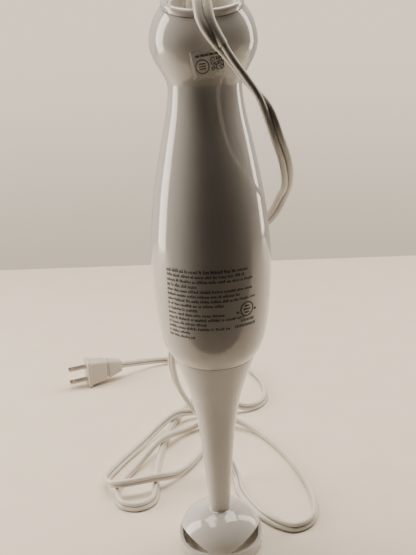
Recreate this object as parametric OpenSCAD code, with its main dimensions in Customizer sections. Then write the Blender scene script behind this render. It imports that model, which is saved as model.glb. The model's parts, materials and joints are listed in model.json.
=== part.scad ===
// Immersion blender with a pull-off blending shaft, standing on its blade guard.
// Millimetres, +Z up. The origin is the centre of the guard's rim, on the table.
// The rating side faces -Y and the thumb button faces +Y.

/* [Casing] */
// Widest diameter of the motor casing
body_d = 66; // [64:1:70]
// Wall of the moulded casings
wall = 2.2; // [1.8:0.1:2.4]
// Height of the joint between the shaft and the motor casing
seam_z = 132.5; // [131:0.5:134]
// How far the split between the casing halves lies forward of the axis
split_y = 4; // [2:1:8]
// Radius of the round head
head_r = 27; // [26.5:0.5:28]
// Backward tilt of the head's rim, in degrees
rim_tilt = 18; // [12:1:20]

/* [Guard] */
// Radius of the blade guard's rim
guard_r = 26; // [25.5:0.5:28]
// Height of the closed skirt below the windows
skirt_h = 7.3; // [6.5:0.1:7.5]
// Number of windows round the guard
windows = 3; // [3:1:4]

/* [Motor] */
// Outer radius of the steel motor can
can_r = 18.5; // [18.5:0.1:19]
// Radius of the motor shaft
motor_shaft_r = 2.5; // [2:0.1:2.8]
// Number of armature slots
armature_slots = 7; // [5:2:9]

/* [Button] */
// Width of the thumb button
button_w = 16; // [13:1:17]
// Height of the thumb button
button_h = 26; // [22:1:28]
// How far the button stands out of the casing
button_proud = 2; // [1.8:0.1:2.4]

/* [Blade] */
// Radius that the blade sweeps
blade_r = 20; // [17:0.5:20.5]
// Radius of the drive shaft
drive_r = 2; // [1.8:0.1:2.2]

/* [Cord] */
// Width of the flat two-core cord
cord_w = 6.6; // [6:0.1:6.8]
// Direction in which the plug lies, in degrees from +X
plug_turn = 24; // [20:1:28]

/* [Hidden] */
$fn = 64;

// Outline of the casing: radius and height above the joint, at the default body_d
body_shape = [
    [23.7, 0], [27.6, 7], [30.4, 17.5], [32.2, 33], [33, 51], [32.4, 68], [30.9, 82],
    [28.6, 97.5], [24.5, 117.5], [20.4, 135.5], [18.9, 146.5], [19.7, 151.5],
    [22, 156], [24.6, 160.5], [26.4, 165]
];
// Outline of the shaft: radius and height
shaft_shape = [
    [6.9, 26], [7.2, 36], [8.6, 57], [10.9, 82], [13.9, 101], [18.2, 116.5]
];
curve_steps = 2;
body_k = body_d / 66;
head_z = seam_z + 168.7;
head_steps = 8;
head_arc = 80;                  // degrees above the head's equator
casing_gap = 0.3;               // between the casing and the shaft unit
lip_t = 1;                      // ledge that the motor base rests on
lip_r = 19.2;

// Rim of the head, measured along its tilted axis from the head's centre
rim_h = 18;
rim_r = sqrt(head_r * head_r - rim_h * rim_h);
collar_t = 3.7;
collar_w = 3.6;
cup_floor = 8.6;
cup_t = 1.4;
vent_r = 1.1;
vent_ring = 11.8;
vent_count = 10;

// Hole for the cord and the two bosses beside it
hole_x = -3;
hole_y = -5;
boss_x = 9.2;
boss_z = head_z - 4.5;
clamp_t = 3;

// Motor, from the joint upwards
base_z = seam_z + lip_t;
base_r = 21.3;
base_t = 3.5;
spigot_r = 15;
spigot_bore = 9;
spigot_h = 12.5;
tower_r = 19;
tower_wall = 2;
tower_h = 11;
can_z = base_z + base_t + tower_h + 2;
can_h = 56;
can_t = 1.2;
cap_z = can_z + can_h;
bracket_z = cap_z + 4;
bracket_t = 3;
boss_ring = 24.8;
boss_r = 3;
boss_h = 14;
screw_r = 1.3;
fit = 0.03;                     // running clearance of a shaft in its bush
core_z = can_z + 11;
core_h = 34;
slot_ring = 9.2;

// Thumb button and its switch
button_z = seam_z + 115.5;
button_gap = 0.35;
button_travel = 1.8;
flange_extra = 3;
flange_gap = 0.4;
flange_t = 1.5;
stem_r = 2;
stem_y = 11;
plunger_r = 1.2;
switch_d = 8;
board_t = 1.6;
board_w = 34;
board_z = bracket_z + bracket_t + 11;
board_h = 38;

// Blending shaft
shaft_wall = 2;
shaft_top = seam_z - casing_gap;
web_z = 97;
web_t = 4;
bush_r = 4.5;
guard_top = 26;
hub_r = 7;
guard_wall = 2;
window_top = 15.2;
window_tip = 10.2;
window_half = (guard_r - 0.7) * sin(150 / windows);
dome_h = 19.2;                  // height of the guard's dome above the skirt
dome_steps = 9;
dome_top = 74;
blade_z = 10;
blade_t = 1.2;
blade_root = 11;
blade_w = 8.5;

// Plug
plug_face = [-118.3, 214.2];
plug_half = 12.8;
plug_len = 33;
pin_len = 16.3;
pin_gap = 12.7;

// Route of the cord's centre line. It leaves the head's recess, arches over the rear of the rim,
// swings round the right side of the casing, drops behind it and lies on the table in loops.
relief_route = [
    [hole_x, hole_y, 306], [-3, -6, 315], [-2.5, -12, 322.5], [-1.5, -21.5, 325.5], [-0.3, -31, 321],
    [1.5, -38, 311]
];
table_z = 3.3;
drop_route = [
    [8, -40, 300], [18, -40.5, 286.5], [27, -40, 274],
    [32.8, -36.5, 259], [38, -25, 245], [40.8, -8, 231], [39.8, 6, 221], [34.5, 20, 206],
    [20, 35, 187], [1, 43.5, 163], [-16, 45, 139], [-26.8, 42, 114], [-26.8, 49, 91],
    [-21.5, 57, 72], [-13, 64, 53], [-3, 69, 34], [6.5, 68.5, 16], [13, 60, 5],
    [15.5, 46, table_z], [23, 28.5, table_z], [33.5, 13, table_z], [47, 5, table_z],
    [60, 12, table_z], [64.5, 31, table_z]
];
table_route = [
    [60, 60, table_z], [47, 96, table_z], [28, 124, 4], [2, 134.5, 10], [-22, 126, 4.5],
    [-43, 102.5, 10], [-60, 78, 4], [-70, 58, table_z], [-71, 44, table_z],
    [-67, 34.5, table_z], [-57.8, 31, table_z], [-48.5, 34.5, table_z], [-44.5, 44, table_z],
    [-45, 72, table_z], [-42.5, 102, table_z], [-36, 134, table_z], [-27, 160, table_z],
    [-19, 174, table_z], [-7, 178, table_z], [4, 171, table_z], [6.5, 157, table_z],
    [1, 134, table_z], [-13, 93, table_z], [-28, 67, 4.5], [-46, 53, 10.2], [-70.5, 47, 10.6],
    [-81, 61, 5], [-74, 81, table_z], [-59, 106, 4.5], [-36, 136.5, 10.2], [-17, 149.5, 6.5],
    [5.5, 155, 10], [27, 156.5, 4.5], [40, 167.5, table_z], [44, 187, table_z],
    [39, 214, table_z], [24, 238, table_z], [-10, 253, table_z], [-50, 250.5, 5],
    [-72, 238, 9.5]
];
plug_end = [
    plug_face[0] + plug_len * cos(plug_turn), plug_face[1] + plug_len * sin(plug_turn), plug_half
];
relief_r = 5;
relief_tip = 3.8;
cord_sides = 8;

// ---- curves and swept tubes ----

function curve_point(a, b, c, d, t) =
    0.5 * (2 * b + (c - a) * t + (2 * a - 5 * b + 4 * c - d) * t * t
        + (3 * b - a - 3 * c + d) * t * t * t);

// A smooth curve through the given points, with some steps between each pair
function curve(points, steps) =
    let (
        last = len(points) - 1,
        p = concat([2 * points[0] - points[1]], points, [2 * points[last] - points[last - 1]])
    )
    concat(
        [for (i = [1:last], k = [0:steps - 1]) curve_point(p[i - 1], p[i], p[i + 1], p[i + 2], k / steps)],
        [points[last]]
    );

function unit(v) = v / norm(v);

function tangents(path) =
    let (last = len(path) - 1)
    [for (i = [0:last]) unit(path[min(i + 1, last)] - path[max(i - 1, 0)])];

// Carries the side direction u along the tangents without twist
function sides_along(t, u, i = 0) =
    i == len(t) ? [] : let (w = unit(u - (u * t[i]) * t[i])) concat([w], sides_along(t, w, i + 1));

function slice(list, first, last) = [for (i = [first:last]) list[i]];

// A closed round tube along a path, with one radius for each ring
module tube(path, radii, sides, side_dir = [1, 0, 0]) {
    t = tangents(path);
    u = sides_along(t, side_dir);
    rings = len(path);
    points = [
        for (i = [0:rings - 1], k = [0:sides - 1])
            path[i] + radii[i] * (cos(360 * k / sides) * u[i] + sin(360 * k / sides) * cross(t[i], u[i]))
    ];
    walls = [
        for (i = [0:rings - 2], k = [0:sides - 1], half = [0, 1])
            let (n = (k + 1) % sides, a = i * sides, b = a + sides)
            half == 0 ? [a + k, b + k, b + n] : [a + k, b + n, a + n]
    ];
    start_face = [for (k = [0:sides - 1]) k];
    end_face = [for (k = [0:sides - 1]) (rings - 1) * sides + sides - 1 - k];
    polyhedron(points, concat(walls, [start_face], [end_face]));
}

module coil_spring(r, wire_r, length, turns, per_turn = 10) {
    steps = turns * per_turn;
    tube(
        [for (i = [0:steps]) [r * cos(360 * i / per_turn), r * sin(360 * i / per_turn), length * i / steps]],
        [for (i = [0:steps]) wire_r], 6, [0, 0, 1]
    );
}

module ring(outer, inner, z, height) {
    translate([0, 0, z])
        difference() {
            cylinder(r = outer, h = height);
            translate([0, 0, -1]) cylinder(r = inner, h = height + 2);
        }
}

module at_angles(angles, radius) {
    for (a = angles) rotate([0, 0, a]) translate([radius, 0, 0]) children();
}

// ---- outlines ----

// Half outline of the motor casing, grown outwards by a distance
function casing_outline(grow) = concat(
    [for (p = curve(body_shape, curve_steps)) [p[0] * body_k + grow, seam_z + p[1]]],
    [for (i = [0:head_steps])
        let (a = head_arc * i / head_steps)
        [(head_r + grow) * cos(a), head_z + (head_r + grow) * sin(a)]]
);

module casing_solid(grow, bottom = seam_z) {
    outline = casing_outline(grow);
    top = outline[len(outline) - 1];
    rotate_extrude()
        polygon(concat([[0, bottom], [outline[0][0], bottom]], outline, [[0, top[1]]]));
}

module in_head() {
    translate([0, 0, head_z]) rotate([rim_tilt, 0, 0]) children();
}

module stadium(w, h) {
    square([w, h - w], center = true);
    for (s = [-1, 1]) translate([0, s * (h - w) / 2]) circle(d = w);
}

// A prism through the front of the casing, in the shape of the button
module button_prism(grow) {
    translate([0, split_y + 1, button_z])
        rotate([-90, 0, 0])
            linear_extrude(50) stadium(button_w + 2 * grow, button_h + 2 * grow);
}

// ---- motor unit: casings ----

module casing_half(front) {
    side = front ? 1 : -1;
    difference() {
        intersection() {
            difference() {
                casing_solid(0);
                difference() {
                    casing_solid(-wall);
                    translate([0, 0, seam_z - 1]) cylinder(r = 2 * body_d, h = lip_t + 1);
                }
                translate([0, 0, seam_z - 1]) cylinder(r = lip_r, h = lip_t + 2);
                in_head() translate([-2 * head_r, -2 * head_r, rim_h]) cube(4 * head_r);
            }
            translate([-body_d, front ? split_y : split_y - 2 * body_d, seam_z - 1])
                cube([2 * body_d, 2 * body_d, 300]);
        }
        if (front) button_prism(button_gap);
    }
    // Bosses that the motor bracket is screwed to
    difference() {
        at_angles([side * 45, side * 135], boss_ring)
            translate([0, 0, bracket_z - boss_h]) {
                cylinder(r = boss_r, h = boss_h);
                translate([0, -1, 0]) cube([body_d / 2 - wall - boss_ring - 0.1, 2, boss_h - 5]);
            }
        at_angles([side * 45, side * 135], boss_ring)
            translate([0, 0, bracket_z - boss_h + 4]) cylinder(r = screw_r, h = boss_h);
    }
}

module rear_housing() { color("white") casing_half(false); }

module front_housing() { color("whitesmoke") casing_half(true); }

// Rounded band round the mouth of the head
module top_collar() {
    inner = rim_r - collar_w;
    edge = collar_w / 2;
    color("white") in_head()
        rotate_extrude() {
            translate([inner, rim_h]) square([collar_w, collar_t - edge]);
            translate([inner + edge, rim_h + collar_t - edge]) circle(r = edge);
        }
}

// Dished floor of the head's mouth, with the cord hole and vents
module recess_cup() {
    cup_r = rim_r - collar_w - 0.05;
    color("gainsboro")
        difference() {
            union() {
                in_head() {
                    ring(cup_r, cup_r - cup_t, cup_floor, rim_h + collar_t - 2 - cup_floor);
                    translate([0, 0, cup_floor]) cylinder(r = cup_r, h = cup_t);
                }
                for (s = [-1, 1]) translate([hole_x + boss_x * s, hole_y, boss_z]) cylinder(r = 2.6, h = 13);
            }
            translate([hole_x, hole_y, head_z]) cylinder(r = relief_r + 0.1, h = 20);
            in_head() at_angles([for (i = [0:vent_count - 1]) 360 * (i + 0.5) / vent_count], vent_ring)
                translate([0, 0, cup_floor - 1]) cylinder(r = vent_r, h = 4);
            for (s = [-1, 1]) translate([hole_x + boss_x * s, hole_y, boss_z - 1]) cylinder(r = screw_r, h = 9);
        }
}

// ---- cord ----

full_route = curve(concat(relief_route, drop_route, table_route, [plug_end]), curve_steps);
relief_end = len(relief_route) * curve_steps;
upper_end = relief_end + len(drop_route) * curve_steps;
route_end = len(full_route) - 1;

module cord_run(first, last) {
    path = slice(full_route, first, last);
    color("white") tube(path, [for (p = path) cord_w / 2], cord_sides);
}

// Tapered sleeve that stands on the clamp bar and follows the start of the cord
module strain_relief() {
    path = slice(full_route, 0, relief_end);
    color("white") tube(
        concat([[hole_x, hole_y, boss_z]], path),
        concat([relief_r], [for (i = [0:relief_end]) relief_r + (relief_tip - relief_r) * i / relief_end]),
        12
    );
}

module cord_upper() { cord_run(relief_end, upper_end); }

module cord_lower() { cord_run(upper_end, route_end); }

module cord_clamp() {
    color("gainsboro") translate([hole_x, hole_y, boss_z - clamp_t]) difference() {
        translate([-12, -4.5, 0]) cube([24, 9, clamp_t]);
        translate([0, 0, -1]) cylinder(r = 3, h = clamp_t + 2);
        for (s = [-1, 1]) translate([boss_x * s, 0, -1]) cylinder(r = screw_r + 0.1, h = clamp_t + 2);
    }
}

module clamp_screws() {
    color("silver")
        for (s = [-1, 1]) translate([hole_x + boss_x * s, hole_y, boss_z - clamp_t]) {
            translate([0, 0, -1.8]) cylinder(r = 2.4, h = 1.8);
            cylinder(r = screw_r, h = 10);
        }
}

// Two insulated wires from the clamped cord down to the circuit board
module lead_wires() {
    for (s = [-1, 1])
        color("royalblue")
            tube(
                curve([
                    [hole_x + 1.3 * s, hole_y, boss_z], [hole_x + 1.3 * s, hole_y, boss_z - 5],
                    [s * 3, -1, boss_z - 13], [s * 5, 1.5, boss_z - 24], [s * 6, 1.2, board_z + board_h - 3]
                ], 3),
                [for (i = [0:12]) 0.9], 6
            );
}

// ---- plug ----

module in_plug() {
    translate([plug_face[0], plug_face[1], plug_half]) rotate([0, 0, plug_turn]) children();
}

// A block with one outline seen from the side and one from above
module shaped_block(side_outline, top_outline) {
    intersection() {
        rotate([90, 0, 0])
            translate([0, 0, -plug_half]) linear_extrude(2 * plug_half) polygon(side_outline);
        translate([0, 0, -plug_half]) linear_extrude(2 * plug_half) polygon(top_outline);
    }
}

// Closes an outline by mirroring its upper edge
function mirrored(edge) = concat(edge, [for (i = [len(edge) - 1:-1:0]) [edge[i][0], -edge[i][1]]]);

module plug_body() {
    side_edge = [
        [0, plug_half], [3, plug_half], [3, 11.6], [17.5, 9.6], [18, 8.2], [20, 8.2],
        [20.5, 8.8], [plug_len, 5.4]
    ];
    top_edge = [[0, 8.5], [3, 8.5], [3, 7.3], [17.5, 6.4], [18, 5], [20, 5], [20.5, 5.6], [plug_len, 3.9]];
    color("white") in_plug() shaped_block(mirrored(side_edge), mirrored(top_edge));
}

module plug_blades() {
    pin_w = 6.35;
    pin_t = 1.5;
    color("gold") in_plug()
        for (s = [-1, 1]) translate([0, 0, s * pin_gap / 2])
            difference() {
                translate([-pin_len, -pin_w / 2, -pin_t / 2]) cube([pin_len, pin_w, pin_t]);
                translate([-pin_len + 3.2, 0, -2]) cylinder(r = 1.6, h = 4);
                for (m = [-1, 1]) translate([-pin_len, m * pin_w / 2, 0]) rotate([0, 0, 45])
                    cube([1.6, 1.6, 4], center = true);
            }
}

// ---- motor unit: motor ----

// Floor of the motor unit, with the spigot that enters the shaft and the fan's tower
module motor_base() {
    color("dimgray") difference() {
        union() {
            translate([0, 0, base_z]) cylinder(r = base_r, h = base_t);
            translate([0, 0, base_z - spigot_h]) cylinder(r = spigot_r, h = spigot_h + 1);
            translate([0, 0, base_z]) cylinder(r = tower_r, h = base_t + tower_h);
        }
        translate([0, 0, base_z - spigot_h - 1]) cylinder(r = spigot_bore, h = 40);
        translate([0, 0, base_z + base_t]) cylinder(r = tower_r - tower_wall, h = 40);
    }
}

module lower_damper() { color("black") ring(tower_r, 14, can_z - 2, 2); }

module upper_damper() { color("black") ring(can_r, can_r - 1.7, cap_z + 2, 2); }

module motor_can() {
    color("silver") difference() {
        translate([0, 0, can_z]) cylinder(r = can_r, h = can_h);
        translate([0, 0, can_z + can_t]) cylinder(r = can_r - can_t, h = can_h);
        translate([0, 0, can_z - 1]) cylinder(r = 6, h = 4);
        at_angles([45:90:315], 11) translate([0, 0, can_z - 1]) cylinder(r = 2.4, h = 4);
    }
}

module field_magnets() {
    color("darkslategray") difference() {
        ring(can_r - can_t - 0.1, can_r - 4.8, can_z + 8, 40);
        translate([-can_r, -7, can_z]) cube([2 * can_r, 14, can_h]);
    }
}

module lower_bearing() {
    color("goldenrod") difference() {
        union() {
            translate([0, 0, can_z - 1]) cylinder(r = 6, h = 6);
            translate([0, 0, can_z + can_t]) cylinder(r = 7.5, h = 1.2);
        }
        translate([0, 0, can_z - 2]) cylinder(r = motor_shaft_r + fit, h = 10);
    }
}

// Insulating end plate with a bridge that holds the upper bearing over the commutator
module motor_end_cap() {
    bridge_z = cap_z + 10;
    color("saddlebrown") difference() {
        union() {
            translate([0, 0, cap_z]) cylinder(r = can_r, h = 2);
            translate([0, 0, cap_z - 3]) cylinder(r = can_r - can_t - 0.1, h = 3);
            for (s = [-1, 1]) translate([s * 12 - 2.5, -4, cap_z]) cube([5, 8, 12]);
            translate([-14.5, -6, bridge_z]) cube([29, 12, 4]);
        }
        translate([0, 0, cap_z - 4]) cylinder(r = 6.5, h = 13.9);
        translate([0, 0, bridge_z - 1]) cylinder(r = 4.5, h = 6);
    }
}

module upper_bearing() {
    color("goldenrod") ring(4.5, motor_shaft_r + fit, cap_z + 9.5, 5);
}

// Metal frame that clamps the motor down and carries the circuit board
module motor_bracket() {
    color("lightsteelblue") difference() {
        union() {
            ring(boss_ring + boss_r, can_r - 0.6, bracket_z, bracket_t);
            for (s = [-1, 1]) translate([s * 18.2 - 2, -3, bracket_z + 1]) cube([4, 6, 22]);
        }
        at_angles([45:90:315], boss_ring) translate([0, 0, bracket_z - 1]) cylinder(r = screw_r + 0.1, h = 6);
        translate([-board_w / 2 - 0.2, -board_t - 0.1, board_z - 0.2])
            cube([board_w + 0.4, board_t + 0.2, 40]);
    }
}

module bracket_screws() {
    color("silver") at_angles([45:90:315], boss_ring) {
        translate([0, 0, bracket_z + bracket_t]) cylinder(r = 2.6, h = 2);
        translate([0, 0, bracket_z - 9]) cylinder(r = screw_r, h = 9 + bracket_t + 0.5);
    }
}

module brush_holders() {
    color("gold") for (a = [90, 270]) rotate([0, 0, a])
        difference() {
            translate([7, -3, cap_z + 2]) cube([9.6, 6, 5.6]);
            translate([6, -2.1, cap_z + 2.7]) cube([9.9, 4.2, 4.2]);
        }
}

module carbon_brushes() {
    color("black") for (a = [90, 270]) rotate([0, 0, a])
        difference() {
            translate([5, -2, cap_z + 2.8]) cube([6, 4, 4]);
            translate([0, 0, cap_z]) cylinder(r = 5.6, h = 10);
        }
}

module brush_springs() {
    color("silver") for (a = [90, 270]) rotate([0, 0, a])
        translate([11.3, 0, cap_z + 4.8]) rotate([0, 90, 0]) coil_spring(1.5, 0.25, 4.3, 5, 8);
}

// ---- motor unit: electrics ----

module circuit_board() {
    color("darkgreen") difference() {
        translate([-board_w / 2, -board_t, board_z]) cube([board_w, board_t, board_h]);
        for (s = [-1, 1]) translate([s * 12, 1, board_z + board_h - 5])
            rotate([90, 0, 0]) cylinder(r = 1.6, h = 5);
    }
}

module rectifier() {
    color("dimgray") translate([2, 0, board_z + 4]) cube([12, 4, 10]);
}

module capacitor() {
    color("gold") translate([-13, 0, board_z + 3]) cube([11, 6.5, 13]);
}

module switch_body() {
    color("dimgray") difference() {
        translate([-10, 0, button_z - 6]) cube([20, switch_d, 12]);
        translate([0, 2, button_z]) rotate([-90, 0, 0]) cylinder(r = plunger_r + 0.05, h = 10);
    }
}

module switch_plunger() {
    color("red") translate([0, 4.4, button_z]) rotate([-90, 0, 0]) cylinder(r = plunger_r, h = stem_y - 4.4);
}

module button_spring() {
    color("silver") translate([0, switch_d + 0.3, button_z])
        rotate([-90, 0, 0]) coil_spring(3.4, 0.35, 11, 5);
}

// Thumb button: a cap that follows the casing, a flange that keeps it in, and a stem to the switch
module power_button() {
    color("gainsboro") {
        intersection() {
            difference() {
                casing_solid(button_proud);
                casing_solid(-wall - flange_gap - flange_t);
            }
            button_prism(0);
        }
        intersection() {
            difference() {
                casing_solid(-wall - flange_gap);
                casing_solid(-wall - flange_gap - flange_t);
            }
            button_prism(flange_extra);
        }
        translate([0, stem_y, button_z]) rotate([-90, 0, 0]) cylinder(r = stem_r, h = 10.5);
    }
}

// ---- rotor ----

module motor_shaft() {
    color("silver") translate([0, 0, base_z - 11.5]) cylinder(r = motor_shaft_r, h = cap_z + 15 - base_z + 11.5);
}

module armature_core() {
    angles = [for (i = [0:armature_slots - 1]) 360 * i / armature_slots];
    color("slategray") difference() {
        ring(12.9, motor_shaft_r, core_z, core_h);
        at_angles(angles, slot_ring) {
            translate([0, 0, core_z - 1]) cylinder(r = 2.1, h = core_h + 2);
            translate([0, -0.6, core_z - 1]) cube([6, 1.2, core_h + 2]);
        }
    }
}

module armature_windings() {
    angles = [for (i = [0:armature_slots - 1]) 360 * i / armature_slots];
    color("peru") {
        for (z = [core_z - 5.2, core_z + core_h + 0.2])
            translate([0, 0, z]) rotate_extrude()
                polygon([[5, 1], [6, 0], [10.6, 0], [12, 1.4], [12, 3.6], [10.6, 5], [6, 5], [5, 4]]);
        at_angles(angles, slot_ring) translate([0, 0, core_z - 2]) cylinder(r = 2, h = core_h + 4);
    }
}

module commutator() {
    z = core_z + core_h + 5.5;
    h = cap_z + 8.5 - z;
    color("chocolate") difference() {
        ring(5.5, motor_shaft_r, z, h);
        at_angles([for (i = [0:armature_slots - 1]) 360 * (i + 0.5) / armature_slots], 5.2)
            translate([0, -0.25, z - 1]) cube([1, 0.5, h + 2]);
    }
}

module cooling_fan() {
    z = base_z + base_t + 1.5;
    blade_angles = [0:45:315];
    color("dimgray") difference() {
        union() {
            translate([0, 0, z]) cylinder(r = 5.5, h = 9);
            translate([0, 0, z + 6.5]) cylinder(r = 16, h = 1.2);
            at_angles(blade_angles, 4.5) translate([0, -0.6, z]) cube([11.4, 1.2, 7]);
        }
        translate([0, 0, z - 1]) cylinder(r = motor_shaft_r, h = 12);
    }
}

// Six-sided key that drives the shaft's socket
module drive_coupling() {
    z = base_z - spigot_h;
    color("dimgray") difference() {
        union() {
            translate([0, 0, z]) cylinder(r = 6.5, h = 10);
            translate([0, 0, z - 8]) cylinder(r = 5.2, h = 9, $fn = 6);
        }
        translate([0, 0, z + 1]) cylinder(r = motor_shaft_r, h = 12);
    }
}

// ---- blending shaft ----

function shaft_outline(grow) = [
    for (p = curve(concat(shaft_shape, [[body_shape[0][0] * body_k, shaft_top]]), curve_steps))
        [p[0] + grow, p[1]]
];

module shaft_solid(grow, bottom) {
    outline = shaft_outline(grow);
    rotate_extrude() intersection() {
        polygon(concat([[0, guard_top]], outline, [[0, shaft_top]]));
        translate([0, bottom]) square([2 * body_d, 200]);
    }
}

module shaft_housing() {
    color("white") {
        difference() {
            shaft_solid(0, guard_top);
            difference() {
                shaft_solid(-shaft_wall, guard_top + 9);
                // Web and hub that hold the upper bush
                ring(2 * body_d, bush_r, web_z, web_t);
                ring(bush_r + 2.5, bush_r, web_z, web_t + 3);
            }
            translate([0, 0, guard_top - 1]) cylinder(r = 4, h = 11);
            translate([0, 0, shaft_top - 1]) cylinder(r = body_shape[0][0] * body_k - shaft_wall, h = 3);
        }
    }
}

module locking_collar() {
    z = shaft_top - 12.5;
    color("gainsboro") rotate_extrude()
        polygon([[spigot_r + 0.06, z], [16.9, z], [20.8, shaft_top - 1], [spigot_r + 0.06, shaft_top - 1]]);
}

module upper_bush() { color("goldenrod") ring(bush_r, drive_r + fit, web_z, web_t + 3); }

module lower_bush() { color("goldenrod") ring(4, drive_r + fit, guard_top + 0.5, 8); }

module shaft_seal() { color("black") ring(4.5, drive_r + fit, guard_top - 8, 6); }

function dome_edge(r, h, z) = [
    for (i = [0:dome_steps]) let (a = dome_top * i / dome_steps) [r * cos(a), z + h * sin(a)]
];

// Lens-shaped opening: two arcs that meet at the tips
module window_outline() {
    low = window_tip - skirt_h;
    high = window_top - window_tip;
    low_r = (window_half * window_half + low * low) / (2 * low);
    high_r = (window_half * window_half + high * high) / (2 * high);
    intersection() {
        translate([0, skirt_h + low_r]) circle(r = low_r, $fn = 180);
        translate([0, window_top - high_r]) circle(r = high_r, $fn = 180);
    }
}

// Bell that keeps the blade off the bowl, with a closed skirt and windows above it
module blade_guard() {
    outer = dome_edge(guard_r, dome_h, skirt_h);
    inner = dome_edge(guard_r - guard_wall, dome_h - guard_wall, skirt_h);
    color("white") difference() {
        union() {
            rotate_extrude() difference() {
                polygon(concat(
                    [[0, 0], [guard_r - 0.8, 0], [guard_r, 1.2]],
                    outer, [[hub_r - 0.1, guard_top], [0, guard_top]]
                ));
                polygon(concat([[0, -1], [guard_r - guard_wall, -1]], inner, [[0, inner[dome_steps][1]]]));
            }
            translate([0, 0, guard_top - 10]) cylinder(r = hub_r - 0.2, h = 9);
        }
        translate([0, 0, guard_top - 11]) cylinder(r = drive_r + 1, h = 20);
        translate([0, 0, guard_top - 8]) cylinder(r = 4.5, h = 20);
        for (i = [0:windows - 1])
            rotate([0, 0, 360 * (i + 0.5) / windows - 90])
                rotate([90, 0, 90]) translate([0, 0, 10]) linear_extrude(30) window_outline();
    }
}

// ---- blade and drive ----

module coupling_socket() {
    z = base_z - spigot_h - 0.5;
    color("dimgray") difference() {
        translate([0, 0, z - 15]) cylinder(r = 8.5, h = 15);
        translate([0, 0, z - 9]) cylinder(r = 5.45, h = 10, $fn = 6);
        translate([0, 0, z - 16]) cylinder(r = drive_r, h = 6);
    }
}

module drive_shaft() {
    color("silver") translate([0, 0, blade_z - 2]) cylinder(r = drive_r, h = base_z - spigot_h - 10 - blade_z + 2);
}

module thrust_washer() { color("silver") ring(3.9, drive_r, blade_z + 5.1, 0.6); }

module blade_hub() { color("silver") ring(4.2, drive_r, blade_z + blade_t, 3.9 - 0.1); }

// Two wings, one bent up and one bent down
module blade() {
    rise = (blade_r - blade_root) * tan(12);
    fall = (blade_r - blade_root) * tan(10);
    side = [
        [-blade_r, -fall], [-blade_root, 0], [blade_root, 0], [blade_r, rise],
        [blade_r, rise + blade_t], [blade_root, blade_t], [-blade_root, blade_t], [-blade_r, blade_t - fall]
    ];
    wing = [
        [blade_root, -blade_w / 2], [blade_r - 1.5, -blade_w / 2 + 2.5], [blade_r - 0.2, 0],
        [blade_r - 2, blade_w / 2]
    ];
    color("silver") translate([0, 0, blade_z]) difference() {
        intersection() {
            rotate([90, 0, 0]) translate([0, 0, -blade_w]) linear_extrude(2 * blade_w) polygon(side);
            translate([0, 0, -10]) linear_extrude(20) polygon(concat(wing, -wing));
        }
        translate([0, 0, -1]) cylinder(r = drive_r, h = 4);
    }
}

module blade_nut() {
    color("silver") difference() {
        translate([0, 0, blade_z - 2.8]) cylinder(r = 3.8, h = 2.8, $fn = 6);
        translate([0, 0, blade_z - 2]) cylinder(r = drive_r, h = 3);
    }
}

// ---- assembly ----

rear_housing();
front_housing();
top_collar();
recess_cup();
strain_relief();
cord_clamp();
clamp_screws();
lead_wires();
cord_upper();
cord_lower();
plug_body();
plug_blades();
motor_base();
lower_damper();
motor_can();
field_magnets();
motor_end_cap();
upper_damper();
motor_bracket();
bracket_screws();
lower_bearing();
upper_bearing();
brush_holders();
carbon_brushes();
brush_springs();
circuit_board();
rectifier();
capacitor();
switch_body();
button_spring();
power_button();
switch_plunger();
motor_shaft();
armature_core();
armature_windings();
commutator();
cooling_fan();
drive_coupling();
shaft_housing();
blade_guard();
locking_collar();
upper_bush();
lower_bush();
shaft_seal();
coupling_socket();
drive_shaft();
thrust_washer();
blade_hub();
blade();
blade_nut();
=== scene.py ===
"""Looks for the immersion blender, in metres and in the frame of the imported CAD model.

The blender stands on its bell at the origin, with the rating side towards -Y and the thumb
button towards +Y. The cord leaves the head, hangs behind the casing and lies on the table.
"""

import json
import math
import random

import bmesh
import bpy
from mathutils import Matrix, Vector


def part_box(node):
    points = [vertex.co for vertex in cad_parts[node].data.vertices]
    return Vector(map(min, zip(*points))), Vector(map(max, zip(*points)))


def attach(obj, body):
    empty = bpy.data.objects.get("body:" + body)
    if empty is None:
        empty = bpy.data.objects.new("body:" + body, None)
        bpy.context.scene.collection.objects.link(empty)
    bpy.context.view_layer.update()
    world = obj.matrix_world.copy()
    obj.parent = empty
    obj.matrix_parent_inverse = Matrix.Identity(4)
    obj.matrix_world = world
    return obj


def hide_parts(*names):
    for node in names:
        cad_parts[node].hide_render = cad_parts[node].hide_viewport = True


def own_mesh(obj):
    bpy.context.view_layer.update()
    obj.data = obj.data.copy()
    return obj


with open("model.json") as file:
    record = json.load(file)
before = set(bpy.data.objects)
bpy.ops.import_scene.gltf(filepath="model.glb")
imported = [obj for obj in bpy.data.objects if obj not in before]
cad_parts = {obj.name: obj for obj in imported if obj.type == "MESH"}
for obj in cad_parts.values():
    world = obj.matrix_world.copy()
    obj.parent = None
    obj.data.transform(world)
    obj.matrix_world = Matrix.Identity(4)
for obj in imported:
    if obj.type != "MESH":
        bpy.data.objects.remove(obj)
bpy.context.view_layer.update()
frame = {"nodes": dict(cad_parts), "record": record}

MM = 0.001
MOTOR = "motor_unit"
SHAFT = "blending_shaft"

# ---- sizes that repeat the CAD's, in metres ----

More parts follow.
